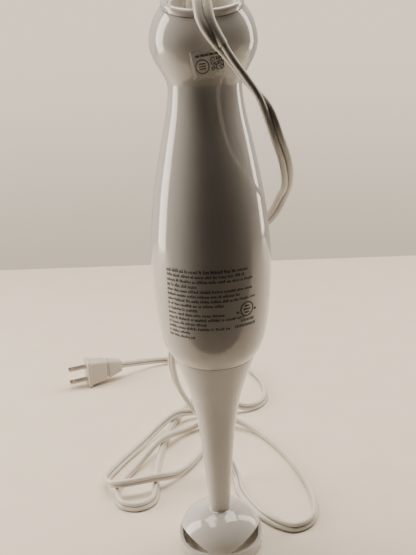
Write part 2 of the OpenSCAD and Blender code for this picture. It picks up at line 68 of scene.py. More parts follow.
SEAM_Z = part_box("rear_housing")[0][2]
BODY_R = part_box("rear_housing")[1][0]
WALL = 0.0022
SPLIT_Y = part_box("front_housing")[0][1]
HEAD_R = 0.027
HEAD_Z = SEAM_Z + 0.1687
RIM_TILT = math.radians(18)
RIM_H = 0.018
RIM_R = math.sqrt(HEAD_R**2 - RIM_H**2)
COLLAR_W = 0.0036
COLLAR_T = 0.0037
BODY_SHAPE = [
    (0.0237, 0), (0.0276, 0.007), (0.0304, 0.0175), (0.0322, 0.033), (0.033, 0.051),
    (0.0324, 0.068), (0.0309, 0.082), (0.0286, 0.0975), (0.0245, 0.1175), (0.0204, 0.1355),
    (0.0189, 0.1465), (0.0197, 0.1515), (0.022, 0.156), (0.0246, 0.1605), (0.0264, 0.165),
]
SHAFT_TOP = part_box("shaft_housing")[1][2]
SHAFT_SHAPE = [
    (0.0069, 0.026), (0.0072, 0.036), (0.0086, 0.057), (0.0109, 0.082), (0.0139, 0.101),
    (0.0182, 0.1165), (0.0237, SHAFT_TOP),
]
GUARD_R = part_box("blade_guard")[1][0]
GUARD_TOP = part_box("blade_guard")[1][2]
GUARD_WALL = 0.002
GUARD_SEAT = 0.008
SKIRT_H = 0.0073
DOME_H = 0.0192
HUB_R = 0.007
BUSH_R = 0.0045
WINDOWS = 3
WINDOW_TIP = 0.0102
WINDOW_TOP = 0.0152
BUTTON_Z = SEAM_Z + 0.1155
BUTTON_W = 0.016
BUTTON_H = 0.026
BUTTON_PROUD = 0.002

# The cord's centre line, as in the CAD: from the head, over the rim, round the casing, to the plug
TABLE_Z = 0.0033
RELIEF_ROUTE = [
    (-0.003, -0.005, 0.306), (-0.003, -0.006, 0.315), (-0.0025, -0.012, 0.3225),
    (-0.0015, -0.0215, 0.3255), (-0.0003, -0.031, 0.321), (0.0015, -0.038, 0.311),
]
DROP_ROUTE = [
    (0.008, -0.04, 0.3), (0.018, -0.0405, 0.2865), (0.027, -0.04, 0.274),
    (0.0328, -0.0365, 0.259), (0.038, -0.025, 0.245), (0.0408, -0.008, 0.231),
    (0.0398, 0.006, 0.221), (0.0345, 0.02, 0.206), (0.02, 0.035, 0.187), (0.001, 0.0435, 0.163),
    (-0.016, 0.045, 0.139), (-0.0268, 0.042, 0.114), (-0.0268, 0.049, 0.091),
    (-0.0215, 0.057, 0.072), (-0.013, 0.064, 0.053), (-0.003, 0.069, 0.034),
    (0.0065, 0.0685, 0.016), (0.013, 0.06, 0.005), (0.0155, 0.046, TABLE_Z),
    (0.023, 0.0285, TABLE_Z), (0.0335, 0.013, TABLE_Z), (0.047, 0.005, TABLE_Z),
    (0.06, 0.012, TABLE_Z), (0.0645, 0.031, TABLE_Z),
]
TABLE_ROUTE = [
    (0.06, 0.06, TABLE_Z), (0.047, 0.096, TABLE_Z), (0.028, 0.124, 0.004), (0.002, 0.1345, 0.01),
    (-0.022, 0.126, 0.0045), (-0.043, 0.1025, 0.01), (-0.06, 0.078, 0.004), (-0.07, 0.058, TABLE_Z),
    (-0.071, 0.044, TABLE_Z), (-0.067, 0.0345, TABLE_Z), (-0.0578, 0.031, TABLE_Z),
    (-0.0485, 0.0345, TABLE_Z), (-0.0445, 0.044, TABLE_Z), (-0.045, 0.072, TABLE_Z),
    (-0.0425, 0.102, TABLE_Z), (-0.036, 0.134, TABLE_Z), (-0.027, 0.16, TABLE_Z),
    (-0.019, 0.174, TABLE_Z), (-0.007, 0.178, TABLE_Z), (0.004, 0.171, TABLE_Z),
    (0.0065, 0.157, TABLE_Z), (0.001, 0.134, TABLE_Z), (-0.013, 0.093, TABLE_Z),
    (-0.028, 0.067, 0.0045), (-0.046, 0.053, 0.0102), (-0.0705, 0.047, 0.0106),
    (-0.081, 0.061, 0.005), (-0.074, 0.081, TABLE_Z), (-0.059, 0.106, 0.0045),
    (-0.036, 0.1365, 0.0102), (-0.017, 0.1495, 0.0065), (0.0055, 0.155, 0.01),
    (0.027, 0.1565, 0.0045), (0.04, 0.1675, TABLE_Z), (0.044, 0.187, TABLE_Z),
    (0.039, 0.214, TABLE_Z), (0.024, 0.238, TABLE_Z), (-0.01, 0.253, TABLE_Z),
    (-0.05, 0.2505, 0.005), (-0.072, 0.238, 0.0095),
]
PLUG_FACE = Vector((-0.1183, 0.2142, 0.0128))
PLUG_TURN = math.radians(24)
PLUG_LEN = 0.033
PLUG_BACK = PLUG_FACE + PLUG_LEN * Vector((math.cos(PLUG_TURN), math.sin(PLUG_TURN), 0))
CORD_W = 0.0066
CORD_T = 0.0034
# Width and thickness of the strain-relief sleeve at its two ends
SLEEVE_ROOT = (0.0098, 0.0066)
SLEEVE_TIP = (0.0085, 0.0044)

# ---- camera ----

FOCAL_MM = 45.4
CAMERA_AT = (0, -0.3656, 0.3078)
CAMERA_PITCH = math.radians(19.6)
CAMERA_ROLL = math.radians(2.04)
CAMERA_SHIFT = -0.0067


def make_camera():
    """Camera that looks down on the blender from the front, with a slight roll."""
    data = bpy.data.cameras.new("camera")
    data.lens = FOCAL_MM
    data.sensor_width = 36
    data.shift_x = CAMERA_SHIFT
    camera = bpy.data.objects.new("camera", data)
    bpy.context.scene.collection.objects.link(camera)
    camera.matrix_world = (
        Matrix.Translation(CAMERA_AT)
        @ Matrix.Rotation(math.pi / 2 - CAMERA_PITCH, 4, "X")
        @ Matrix.Rotation(-CAMERA_ROLL, 4, "Z")
    )
    bpy.context.scene.camera = camera


# ---- mesh helpers ----


def curve(points, steps):
    """Points on a smooth curve through the given ones, with some steps between each pair."""
    p = [Vector(q) for q in points]
    p = [2 * p[0] - p[1]] + p + [2 * p[-1] - p[-2]]
    out = []
    for i in range(1, len(p) - 2):
        a, b, c, d = p[i - 1 : i + 3]
        for k in range(steps):
            t = k / steps
            out.append(
                0.5
                * (
                    2 * b
                    + (c - a) * t
                    + (2 * a - 5 * b + 4 * c - d) * t**2
                    + (3 * b - a - 3 * c + d) * t**3
                )
            )
    return out + [p[-2]]


def mix(a, b, t):
    """Value a share t of the way from a to b."""
    return a + (b - a) * t


def smooth(low, high, x):
    """0 below low, 1 above high, and a smooth rise between."""
    t = min(1, max(0, (x - low) / (high - low)))
    return t * t * (3 - 2 * t)


def add_object(name, mesh, material, body, sharp=32):
    """Puts a mesh in the scene, smooth up to a sharp angle, riding on a body if one is named."""
    mesh.polygons.foreach_set("use_smooth", [True] * len(mesh.polygons))
    mesh.set_sharp_from_angle(angle=math.radians(sharp))
    mesh.materials.append(material)
    piece = bpy.data.objects.new(name, mesh)
    bpy.context.scene.collection.objects.link(piece)
    if body:
        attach(piece, body)
    return piece


def make_mesh(name, points, faces):
    """A mesh with its faces turned outwards."""
    mesh = bpy.data.meshes.new(name)
    mesh.from_pydata([tuple(p) for p in points], [], faces)
    bm = bmesh.new()
    bm.from_mesh(mesh)
    bmesh.ops.recalc_face_normals(bm, faces=bm.faces)
    bm.to_mesh(mesh)
    bm.free()
    return mesh


def loft(name, rings, closed=False):
    """A mesh through rings of equally many points, with its two ends filled unless it is closed."""
    n = len(rings[0])
    points = [p for ring in rings for p in ring]
    faces = []
    for i in range(len(rings) - (0 if closed else 1)):
        j = (i + 1) % len(rings)
        for k in range(n):
            m = (k + 1) % n
            faces.append((i * n + k, i * n + m, j * n + m, j * n + k))
    if not closed:
        faces.append(tuple(range(n)))
        faces.append(tuple(range((len(rings) - 1) * n, len(rings) * n)))
    return make_mesh(name, points, faces)


def lathe(name, outline, turns=192):
    """A closed (radius, height) outline turned about the Z axis."""
    rings = []
    for i in range(turns):
        a = math.tau * i / turns
        rings.append([(r * math.cos(a), r * math.sin(a), z) for r, z in outline])
    return loft(name, rings, closed=True)


def baked(piece):
    """Applies the modifiers of an object and returns its mesh."""
    graph = bpy.context.evaluated_depsgraph_get()
    mesh = bpy.data.meshes.new_from_object(piece.evaluated_get(graph))
    mesh.name = piece.name
    bpy.data.objects.remove(piece)
    return mesh


def cut(mesh, cutters, bevel=0.0):
    """The mesh less the cutters, with a small bevel along the sharp edges."""
    piece = bpy.data.objects.new(mesh.name, mesh)
    bpy.context.scene.collection.objects.link(piece)
    tools = []
    for i, cutter in enumerate(cutters):
        tool = bpy.data.objects.new(f"{mesh.name}_cutter{i}", cutter)
        bpy.context.scene.collection.objects.link(tool)
        step = piece.modifiers.new("cut", "BOOLEAN")
        step.operation = "DIFFERENCE"
        step.solver = "EXACT"
        step.object = tool
        tools.append(tool)
    if bevel:
        step = piece.modifiers.new("bevel", "BEVEL")
        step.width = bevel
        step.segments = 3
        step.limit_method = "ANGLE"
        step.angle_limit = math.radians(35)
    out = baked(piece)
    for tool in tools:
        bpy.data.objects.remove(tool)
    return out


# ---- materials ----


def link(tree, source, output, target, socket):
    """Joins a named output of one node to a named input of another."""
    tree.links.new(source.outputs[output], target.inputs[socket])


def noise(tree, place, size, detail):
    """A noise texture over the given places."""
    node = tree.nodes.new("ShaderNodeTexNoise")
    node.inputs["Scale"].default_value = size
    node.inputs["Detail"].default_value = detail
    link(tree, place, "Vector", node, "Vector")
    return node


def surface(
    name, color, rough, metallic=0.0, grain=2500, bump=0.02, spread=0.03, stretch=(1, 1, 1), **sockets
):
    """A procedural surface: colour and roughness vary softly, and a fine grain bumps it."""
    material = bpy.data.materials.new(name)
    material.use_nodes = True
    tree = material.node_tree
    shader = tree.nodes["Principled BSDF"]
    shader.inputs["Metallic"].default_value = metallic
    for socket, value in sockets.items():
        shader.inputs[socket.replace("_", " ")].default_value = value
    place = tree.nodes.new("ShaderNodeTexCoord")
    scale = tree.nodes.new("ShaderNodeMapping")
    scale.inputs["Scale"].default_value = stretch
    link(tree, place, "Object", scale, "Vector")
    cloud = noise(tree, scale, 35, 5)
    tint = tree.nodes.new("ShaderNodeValToRGB")
    tint.color_ramp.elements[0].position = 0.3
    tint.color_ramp.elements[1].position = 0.7
    tint.color_ramp.elements[0].color = [c * (1 - spread) for c in color] + [1]
    tint.color_ramp.elements[1].color = [min(1, c * (1 + spread)) for c in color] + [1]
    link(tree, cloud, "Fac", tint, "Fac")
    link(tree, tint, "Color", shader, "Base Color")
    smudge = noise(tree, scale, 160, 6)
    dull = tree.nodes.new("ShaderNodeMapRange")
    dull.inputs["To Min"].default_value = rough * 0.85
    dull.inputs["To Max"].default_value = rough * 1.2
    link(tree, smudge, "Fac", dull, "Value")
    link(tree, dull, "Result", shader, "Roughness")
    fine = noise(tree, scale, grain, 3)
    relief = tree.nodes.new("ShaderNodeBump")
    relief.inputs["Strength"].default_value = bump
    relief.inputs["Distance"].default_value = 0.0002
    link(tree, fine, "Fac", relief, "Height")
    link(tree, relief, "Normal", shader, "Normal")
    return material


BRUSHED = (1, 1, 0.05)
MATERIALS = {
    "casing_plastic": surface(
        "casing_plastic",
        (0.64, 0.628, 0.61),
        0.09,
        grain=900,
        bump=0.01,
        spread=0.012,
        Coat_Weight=0.6,
        Coat_Roughness=0.04,
    ),
    "recess_plastic": surface("recess_plastic", (0.7, 0.675, 0.64), 0.28, grain=1500, bump=0.04),
    "cord_sheath": surface("cord_sheath", (0.72, 0.69, 0.64), 0.24, grain=1800, bump=0.05),
    "plug_plastic": surface("plug_plastic", (0.58, 0.55, 0.5), 0.36, grain=1500, bump=0.05),
    "plug_metal": surface("plug_metal", (0.42, 0.38, 0.31), 0.32, 1.0, stretch=BRUSHED, bump=0.1),
    "dark_plastic": surface("dark_plastic", (0.035, 0.035, 0.038), 0.5, grain=1500, bump=0.1, spread=0.15),
    "steel": surface("steel", (0.6, 0.6, 0.61), 0.24, 1.0, stretch=BRUSHED, bump=0.08),
    "plated_steel": surface("plated_steel", (0.66, 0.65, 0.63), 0.3, 1.0, bump=0.08, spread=0.06),
    "bronze": surface("bronze", (0.5, 0.33, 0.16), 0.4, 1.0, bump=0.2, spread=0.12),
    "copper_wire": surface("copper_wire", (0.6, 0.22, 0.08), 0.32, 1.0, stretch=(1, 1, 0.1), bump=0.4),
    "soft_rubber": surface("soft_rubber", (0.03, 0.03, 0.03), 0.7, bump=0.2, spread=0.2),
    "carbon": surface("carbon", (0.03, 0.03, 0.032), 0.6, bump=0.3, spread=0.2),
    "laminate": surface("laminate", (0.04, 0.13, 0.06), 0.35, grain=1200, bump=0.1, spread=0.15),
    "film_plastic": surface("film_plastic", (0.6, 0.38, 0.07), 0.3, bump=0.05, spread=0.08),
    "magnet_ferrite": surface("magnet_ferrite", (0.06, 0.055, 0.055), 0.6, bump=0.3, spread=0.2),
    "wire_sheath": surface("wire_sheath", (0.02, 0.06, 0.35), 0.4, bump=0.05, spread=0.08),
}
PRINT = surface("print_ink", (0.035, 0.034, 0.036), 0.45, grain=3000, bump=0.05, spread=0.2)


def paint_crease_shade(material, reach, depth):
    """Painted shade: darkens the base colour where a surface closes in on itself, within a small reach,
    where occlusion shade would fall.
    """
    tree = material.node_tree
    shader = tree.nodes["Principled BSDF"]
    unshaded = shader.inputs["Base Color"].links[0].from_socket
    crease = tree.nodes.new("ShaderNodeAmbientOcclusion")
    crease.inputs["Distance"].default_value = reach
    crease.samples = 8
    shade_amount = tree.nodes.new("ShaderNodeMapRange")
    shade_amount.inputs["From Min"].default_value = 0.25
    shade_amount.inputs["From Max"].default_value = 0.85
    shade_amount.inputs["To Min"].default_value = 1 - depth
    link(tree, crease, "AO", shade_amount, "Value")
    shade = tree.nodes.new("ShaderNodeVectorMath")
    shade.operation = "MULTIPLY"
    tree.links.new(unshaded, shade.inputs[0])
    tree.links.new(shade_amount.outputs["Result"], shade.inputs[1])
    tree.links.new(shade.outputs["Vector"], shader.inputs["Base Color"])


# Painted shade in the grooves and creases of the cord and the plug.
paint_crease_shade(MATERIALS["cord_sheath"], 0.0018, 0.6)
paint_crease_shade(MATERIALS["plug_plastic"], 0.0025, 0.6)


def film_material():
    """Clear sticker film: nearly invisible, with a soft gloss of its own."""
    film = surface("sticker_film", (0.86, 0.84, 0.8), 0.22, grain=500, bump=0.03, spread=0.02)
    film.node_tree.nodes["Principled BSDF"].inputs["Alpha"].default_value = 0.3
    return film


def dress_cad_nodes():
    """Gives every CAD node the material of its slot."""
    slots = {row["node"]: row["material_slot"] for row in frame["record"]["subparts"]}
    for node, piece in frame["nodes"].items():
        piece.data.materials.clear()
        piece.data.materials.append(MATERIALS[slots[node]])


# ---- cord ----

CORD_STEPS = 8
# The cord lies this far above the table
TABLE_GAP = 0.00002
RELIEF_LAST = len(RELIEF_ROUTE)
DROP_LAST = RELIEF_LAST + len(DROP_ROUTE)
LAST_PLACE = DROP_LAST + len(TABLE_ROUTE)
# Direction of the flat cord's broad side at places counted along the route's points, while it hangs
BROAD_SIDE = [
    (0, (1, 0, 0)),
    (3.8, (1, 0.05, 0.1)),
    (5.1, (0.84, 0.1, 0.45)),
    (6.8, (0.1, -0.94, 0.33)),
    (9, (-0.9, -0.13, -0.4)),
    (10, (-0.9, -0.13, -0.4)),
    (11.2, (-0.8, -0.6, -0.1)),
    (12.5, (-0.85, -0.3, 0.3)),
    (14, (-0.8, 0.3, 0.4)),
    (17, (-0.5, 0.8, 0)),
    (20, (-0.35, 0.93, 0)),
    (22, (0.5, 0.8, 0)),
    (24, (0.92, 0.38, 0)),
]


def broad_side(s, tangent):
    """Unit vector across the cord's broad side, at place s along the route."""
    if s >= BROAD_SIDE[-1][0]:
        # A flat cord bends only about its broad side, so it stands on edge in the loops on the table
        flat = Vector((0, 0, 1)).cross(tangent).normalized()
        lean = math.radians(14 + 9 * math.sin(0.8 * s)) * (1 - smooth(LAST_PLACE - 5, LAST_PLACE - 2, s))
        edge = Vector((0, 0, math.cos(lean))) + math.sin(lean) * flat
        side = flat.lerp(edge, smooth(DROP_LAST - 6, DROP_LAST - 3, s))
    else:
        i = max(k for k in range(len(BROAD_SIDE)) if BROAD_SIDE[k][0] <= s)
        (s0, v0), (s1, v1) = BROAD_SIDE[i : i + 2]
        side = Vector(v0).lerp(Vector(v1), smooth(s0, s1, s))
    return (side - side.dot(tangent) * tangent).normalized()


def tangent_at(line, i):
    """Unit direction of a line of points at one of them."""
    return (line[min(i + 1, len(line) - 1)] - line[max(i - 1, 0)]).normalized()


def cord_line():
    """The centre line as the flat cord really lies, from inside the head to inside the plug."""
    line = curve(RELIEF_ROUTE + DROP_ROUTE + TABLE_ROUTE + [tuple(PLUG_BACK)], CORD_STEPS)
    heights = []
    for i, p in enumerate(line):
        s = i / CORD_STEPS
        side = broad_side(s, tangent_at(line, i))
        half_height = CORD_T / 2 + (CORD_W - CORD_T) / 2 * abs(side.z)
        lying = smooth(DROP_LAST - 8.5, DROP_LAST - 6.5, s)
        heights.append(p.z + lying * (half_height + TABLE_GAP - TABLE_Z))
    for p, z in zip(line, heights):
        p.z = z
    return line


def flat_ring(centre, side, tangent, width, thick):
    """Section of a two-core cord: two round lobes that overlap, with a groove along each face."""
    up = tangent.cross(side)
    lobe = thick / 2
    reach = width / 2 - lobe
    meet = math.acos(-reach / lobe)
    ring = []
    steps = 14
    for half in (1, -1):
        for k in range(steps):
            a = mix(-meet, meet, k / steps)
            ring.append(centre + half * (side * (reach + lobe * math.cos(a)) + up * lobe * math.sin(a)))
    return ring


def make_cord(line):
    """The flat cord from the head to the plug."""
    rings = []
    for i, p in enumerate(line):
        t = tangent_at(line, i)
        rings.append(flat_ring(p, broad_side(i / CORD_STEPS, t), t, CORD_W, CORD_T))
    piece = add_object("cord", loft("cord", rings), MATERIALS["cord_sheath"], MOTOR, 60)
    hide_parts("cord_upper", "cord_lower")
    return piece


def make_relief(line):
    """Tapered sleeve that follows the start of the cord, and grips it at its tip."""
    last = RELIEF_LAST * CORD_STEPS
    root = Vector((line[0].x, line[0].y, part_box("strain_relief")[0][2]))
    path = [root] + line[: last + 1]
    rings = []
    for i, p in enumerate(path):
        s = i / last
        t = tangent_at(path, i)
        grip = 1 - 0.16 * smooth(0.8, 1, s)
        width = mix(SLEEVE_ROOT[0], SLEEVE_TIP[0], s) * grip
        thick = mix(SLEEVE_ROOT[1], SLEEVE_TIP[1], s)
        rings.append(flat_ring(p, broad_side(max(0, i - 1) / CORD_STEPS, t), t, width, thick))
    mesh = loft("relief_sleeve", rings)
    piece = add_object("relief_sleeve", mesh, MATERIALS["cord_sheath"], MOTOR, 60)
    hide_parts("strain_relief")
    return piece


# ---- plug ----


def rounded_ring(x, half_w, half_h, radius):
    """Rounded rectangle across the plug's axis, at x behind its face."""
    ring = []
    for cx, cz, start in ((1, 1, 0), (-1, 1, 90), (-1, -1, 180), (1, -1, 270)):
        for k in range(7):
            a = math.radians(start + 15 * k)
            ring.append(
                (
                    x,
                    cx * (half_w - radius) + radius * math.cos(a),
                    cz * (half_h - radius) + radius * math.sin(a),
                )
            )
    return ring


def make_plug():
    """Plug with a front flange, a wedge-shaped grip, a groove and a tapered neck."""
    stations = [
        (0, 7.9, 12.2, 2.6), (0.25, 8.35, 12.65, 3), (0.7, 8.5, 12.8, 3), (2.3, 8.5, 12.8, 3),
        (2.8, 8.3, 12.6, 3), (3.05, 7.7, 12.0, 2.8), (3.3, 7.25, 11.5, 2.6), (8, 7.0, 10.9, 2.6),
        (13, 6.7, 10.2, 2.6), (17, 6.4, 9.6, 2.6), (17.6, 6.2, 9.4, 2.5), (17.8, 5.1, 8.3, 2.3),
        (18.2, 4.7, 7.9, 2.2), (19.9, 4.7, 7.9, 2.2), (20.3, 5.2, 8.4, 2.3), (20.6, 5.6, 8.8, 2.4),
        (24, 5.15, 7.9, 2.4), (28, 4.6, 6.8, 2.4), (32, 4.0, 5.7, 2.2), (32.8, 3.6, 5.3, 2),
        (33, 3.2, 4.9, 1.8),
    ]
    rings = [[Vector(p) * MM for p in rounded_ring(*station)] for station in stations]
    mesh = loft("plug_shell", rings)
    mesh.transform(Matrix.Translation(PLUG_FACE) @ Matrix.Rotation(PLUG_TURN, 4, "Z"))
    piece = add_object("plug_shell", mesh, MATERIALS["plug_plastic"], MOTOR, 50)
    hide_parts("plug_body")
    return piece


def make_cord_and_plug():
    """The cord with its sleeve and plug."""
    line = cord_line()
    cord = make_cord(line)
    relief = make_relief(line)
    plug = make_plug()


make_camera()
make_cord_and_plug()

# ---- casing ----


def casing_outline(grow=0.0, steps=6):
    """Radius and height of the casing's surface, moved outwards by a distance."""
    scale = BODY_R / max(r for r, z in BODY_SHAPE)
    shape = curve([(r, z, 0) for r, z in BODY_SHAPE], steps)
    low = [(p.x * scale + grow, SEAM_Z + p.y) for p in shape]
    high = []
    turns = 24
    for i in range(turns + 1):
        a = math.radians(80) * i / turns
        high.append(((HEAD_R + grow) * math.cos(a), HEAD_Z + (HEAD_R + grow) * math.sin(a)))
    return low + high


CASING = casing_outline()


def casing_radius(z):
    """Radius of the casing's surface at a height."""
    for (r0, z0), (r1, z1) in zip(CASING, CASING[1:]):
        if z0 <= z <= z1:
            return mix(r0, r1, (z - z0) / (z1 - z0))
    return CASING[0][0]


def on_casing(angle, z, lift=0.0):
    """Point on the casing, at an angle from -Y towards +X."""
    r = casing_radius(z) + lift
    return Vector((r * math.sin(angle), -r * math.cos(angle), z))


def rim_matrix():
    """Turns things made about the Z axis so that they sit square to the head's tilted rim."""
    return Matrix.Translation((0, 0, HEAD_Z)) @ Matrix.Rotation(RIM_TILT, 4, "X")


def casing_half(name, front):
    """Half of the moulded casing, as a closed shell that ends at the split plane and at the rim."""
    lip = 0.0001
    spigot_r = 0.0192
    floor_z = SEAM_Z + 0.001
    foot_r = CASING[0][0]
    outline = [(foot_r - lip, SEAM_Z), (foot_r, SEAM_Z + lip)] + CASING[1:]
    inner = [(r, z) for r, z in casing_outline(-WALL) if z > floor_z]
    outline += list(reversed(inner))
    outline += [(inner[0][0], floor_z), (spigot_r, floor_z), (spigot_r, SEAM_Z)]
    turns = 128
    rings = []
    for i in range(turns + 1):
        ring = []
        for r, z in outline:
            edge = math.asin(SPLIT_Y / r)
            start, stop = (edge, math.pi - edge) if front else (math.pi - edge, math.tau + edge)
            a = mix(start, stop, i / turns)
            ring.append((r * math.cos(a), r * math.sin(a), z))
        rings.append(ring)
    mesh = loft(name, rings)
    bm = bmesh.new()
    bm.from_mesh(mesh)
    rim = rim_matrix()
    found = bmesh.ops.bisect_plane(
        bm,
        geom=bm.verts[:] + bm.edges[:] + bm.faces[:],
        plane_co=rim @ Vector((0, 0, RIM_H)),
        plane_no=rim.to_3x3() @ Vector((0, 0, 1)),
        clear_outer=True,
    )
    edges = [e for e in found["geom_cut"] if isinstance(e, bmesh.types.BMEdge)]
    bmesh.ops.contextual_create(bm, geom=edges)
    bmesh.ops.recalc_face_normals(bm, faces=bm.faces)
    bm.to_mesh(mesh)
    bm.free()
    return mesh


def stadium(half_w, half_h, steps=16):
    """Upright outline with round ends, as (x, z) points about its middle."""
    points = []
    for side, start in ((1, 0), (-1, 180)):
        for k in range(steps + 1):
            a = math.radians(start + 180 * k / steps)
            points.append((half_w * math.cos(a), side * (half_h - half_w) + half_w * math.sin(a)))
    return points


def make_casing():
    """The two halves of the casing, with the button's opening in the one at the back."""
    plastic = MATERIALS["casing_plastic"]
    piece = add_object("casing_rear", casing_half("casing_rear", False), plastic, MOTOR)
    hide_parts("rear_housing")
    gap = 0.00035
    hole = [(x, z + BUTTON_Z) for x, z in stadium(BUTTON_W / 2 + gap, BUTTON_H / 2 + gap)]
    cutter = loft("button_hole", [[(x, y, z) for x, z in hole] for y in (0.012, 0.05)])
    front = cut(casing_half("casing_front", True), [cutter])
    piece = add_object("casing_front", front, plastic, MOTOR)
    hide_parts("front_housing")


def make_button():
    """Thumb button: a cap that follows the casing, rounded at its edge, with three shallow grooves."""
    outline = stadium(BUTTON_W / 2, BUTTON_H / 2, 24)
    # Its flat back stands just clear of the spring's end
    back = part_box("button_spring")[1].y + 0.0001
    rings = [[(x, back, BUTTON_Z + z) for x, z in outline]]
    edge = [(0, 0), (0, 0.0011), (0.0002, 0.0016), (0.0006, 0.0019), (0.0012, BUTTON_PROUD)]
    inward = [(d, BUTTON_PROUD) for d in (0.002, 0.003, 0.004, 0.005, 0.006, 0.007, 0.0078)]
    for inset, rise in edge + inward:
        ring = []
        for x, z in stadium(BUTTON_W / 2 - inset, BUTTON_H / 2 - inset, 24):
            r = casing_radius(BUTTON_Z + z)
            wave = max(0, math.cos(math.tau * z / 0.005)) ** 2 if abs(z) < 0.009 else 0
            groove = 0.0004 * smooth(0.0012, 0.003, inset) * wave
            ring.append((x, math.sqrt(r * r - x * x) + rise - groove, BUTTON_Z + z))
        rings.append(ring)
    mesh = loft("button_cap", rings)
    plastic = MATERIALS["recess_plastic"]
    piece = add_object("button_cap", mesh, plastic, "thumb_button", 50)
    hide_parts("power_button")


def make_button_spring():
    """Coil spring under the thumb button."""
    low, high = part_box("button_spring")
    wire = 0.00035
    coil = (high.x - low.x) / 2 - wire
    turns = 5
    steps = 32
    rings = []
    for i in range(turns * steps + 1):
        a = math.tau * i / steps
        y = mix(low.y + wire, high.y - wire, i / (turns * steps))
        ring = []
        for k in range(10):
            b = math.tau * k / 10
            r = coil + wire * math.cos(b)
            ring.append((r * math.cos(a), y + wire * math.sin(b), BUTTON_Z + r * math.sin(a)))
        rings.append(ring)
    mesh = loft("press_spring", rings)
    steel = MATERIALS["plated_steel"]
    piece = add_object("press_spring", mesh, steel, MOTOR, 60)
    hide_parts("button_spring")
    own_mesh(piece)


def make_collar():
    """Rounded band round the mouth of the head."""
    inner = RIM_R - COLLAR_W
    foot = RIM_H + 0.0001
    outline = [(inner + 0.0003, foot), (RIM_R - 0.0005, foot), (RIM_R - 0.0002, foot + 0.0003)]
    half = COLLAR_W / 2
    flat = COLLAR_T - half
    steps = 16
    for i in range(steps + 1):
        a = math.pi * i / steps
        outline.append((inner + half * (1 + math.cos(a)), RIM_H + flat + half * math.sin(a)))
    mesh = lathe("collar_band", outline)
    mesh.transform(rim_matrix())
    piece = add_object("collar_band", mesh, MATERIALS["casing_plastic"], MOTOR)
    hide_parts("top_collar")


def make_shaft():
    """Tapered blending shaft with its hollow mouth."""
    line = [(p.x, p.y) for p in curve([(r, z, 0) for r, z in SHAFT_SHAPE], 8)]
    lip = 0.0001
    bore_r = 0.004
    shaft_wall = 0.002
    floor_z = GUARD_TOP + 0.009
    top_r = line[-1][0]
    mouth_z = SHAFT_TOP + 0.0002
    outer = [(bore_r, GUARD_TOP)] + line[:-1] + [(top_r, mouth_z - lip), (top_r - lip, mouth_z)]
    hollow = [(r - shaft_wall, z) for r, z in reversed(line) if z > floor_z]
    hollow[0] = (hollow[0][0], mouth_z)
    outline = outer + hollow + [(BUSH_R, floor_z), (bore_r, floor_z)]
    mesh = lathe("shaft_shell", outline)
    piece = add_object("shaft_shell", mesh, MATERIALS["casing_plastic"], SHAFT)
    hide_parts("shaft_housing")


def window_cutter(turn):
    """Prism through the bell's wall, with the lens outline of one window."""
    half = (GUARD_R - 0.0007) * math.sin(math.radians(150 / WINDOWS))
    low = WINDOW_TIP - SKIRT_H
    high = WINDOW_TOP - WINDOW_TIP
    low_r = (half**2 + low**2) / (2 * low)
    high_r = (half**2 + high**2) / (2 * high)
    across = [half * (i / 20 - 1) for i in range(41)]
    bottom = [(x, SKIRT_H + low_r - math.sqrt(low_r**2 - x * x)) for x in across]
    upper = [(x, WINDOW_TOP - high_r + math.sqrt(high_r**2 - x * x)) for x in across[1:-1]]
    lens = bottom + list(reversed(upper))
    mesh = loft("window", [[(x, y, z) for x, z in lens] for y in (0.01, 0.04)])
    mesh.transform(Matrix.Rotation(turn, 4, "Z"))
    return mesh


def make_guard():
    """Bell with a closed skirt and lens-shaped windows."""
    steps = 40
    dome_top = math.radians(74)
    angles = [dome_top * i / steps for i in range(steps + 1)]
    inside_r = GUARD_R - GUARD_WALL
    inside_h = DOME_H - GUARD_WALL
    # The rim, rounded at its outer edge
    outline = [(inside_r + 0.0003, 0), (GUARD_R - 0.0009, 0), (GUARD_R - 0.0004, 0.0003)]
    outline += [(GUARD_R - 0.0001, 0.0008), (GUARD_R, 0.0013)]
    outline += [(GUARD_R * math.cos(a), SKIRT_H + DOME_H * math.sin(a)) for a in angles]
    # The hub, with its bores for the bush and for the seal
    seat_z = GUARD_TOP - GUARD_SEAT
    hub_low = GUARD_TOP - 0.01
    outline += [(HUB_R - 0.0001, GUARD_TOP), (BUSH_R, GUARD_TOP), (BUSH_R, seat_z)]
    outline += [(0.003, seat_z), (0.003, hub_low), (HUB_R - 0.0002, hub_low)]
    ceiling = [(inside_r * math.cos(a), SKIRT_H + inside_h * math.sin(a)) for a in reversed(angles)]
    outline += [(r, z) for r, z in ceiling if r > HUB_R] + [(inside_r, 0.0003)]
    windows = [window_cutter(math.tau * i / WINDOWS) for i in range(WINDOWS)]
    mesh = cut(lathe("bell", outline, 256), windows, 0.0004)
    piece = add_object("bell", mesh, MATERIALS["casing_plastic"], SHAFT, 40)
    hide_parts("blade_guard")


# ---- print and sticker ----

PRINT_LIFT = 0.00006


def casing_patch(rows):
    """Points and faces of a skin laid on the casing. Each row is a list of (angle, height) pairs."""
    points = [on_casing(a, z, PRINT_LIFT) for row in rows for a, z in row]
    n = len(rows[0])
    faces = []
    for i in range(len(rows) - 1):
        for k in range(n - 1):
            faces.append((i * n + k, i * n + k + 1, (i + 1) * n + k + 1, (i + 1) * n + k))
    return points, faces


def bar(start, stop, z, height):
    """Rows of one printed bar between two angles."""
    n = max(2, int((stop - start) / math.radians(2)) + 1)
    angles = [mix(start, stop, i / (n - 1)) for i in range(n)]
    return [[(a, z - height / 2) for a in angles], [(a, z + height / 2) for a in angles]]


